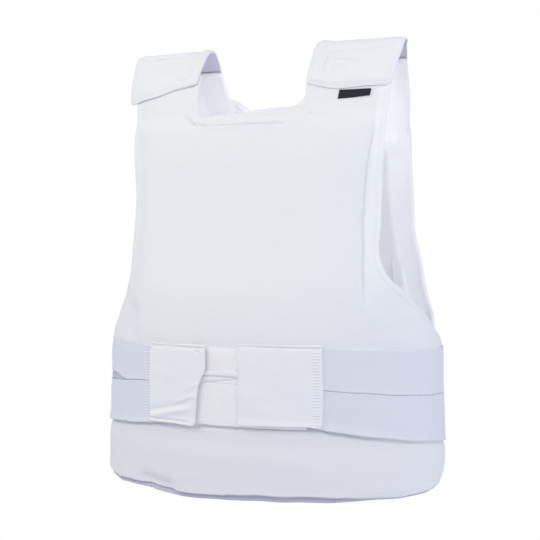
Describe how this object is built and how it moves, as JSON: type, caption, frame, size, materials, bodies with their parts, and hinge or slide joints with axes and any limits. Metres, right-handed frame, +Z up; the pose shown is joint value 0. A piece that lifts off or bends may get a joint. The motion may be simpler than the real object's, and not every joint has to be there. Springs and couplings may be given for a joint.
{
  "type": "concealable soft armour vest",
  "caption": "Concealable ballistic vest in its worn shape, with padded front and back panels, hook and loop shoulder straps, elastic side bands and a front waist closure.",
  "frame": {"origin": "where the vest rests on its wearer: midway between the undersides of the two shoulder straps, at the top of the shoulders", "axes": "+Z up, -Y the way the front panel faces, +X towards the wearer's left"},
  "size_m": [0.3829, 0.2471, 0.4763],
  "materials": {
    "cover_cloth": "matt",
    "elastic": "ribbed matt",
    "hook_cloth": "matt",
    "loop_cloth": "fuzzy matt",
    "label_cloth": "satin"
  },
  "bodies": {
    "root": {"front_panel": "cover_cloth", "back_panel": "cover_cloth", "shoulder_strap_left": "cover_cloth", "shoulder_strap_right": "cover_cloth", "side_band_upper_left": "elastic", "side_band_lower_left": "elastic", "side_band_upper_right": "elastic", "side_band_lower_right": "elastic", "closure_flap_left": "hook_cloth", "closure_flap_right": "hook_cloth", "landing_field_upper": "loop_cloth", "landing_tape": "loop_cloth", "landing_field_lower": "loop_cloth", "neck_label": "label_cloth"}
  },
  "joints": []
}
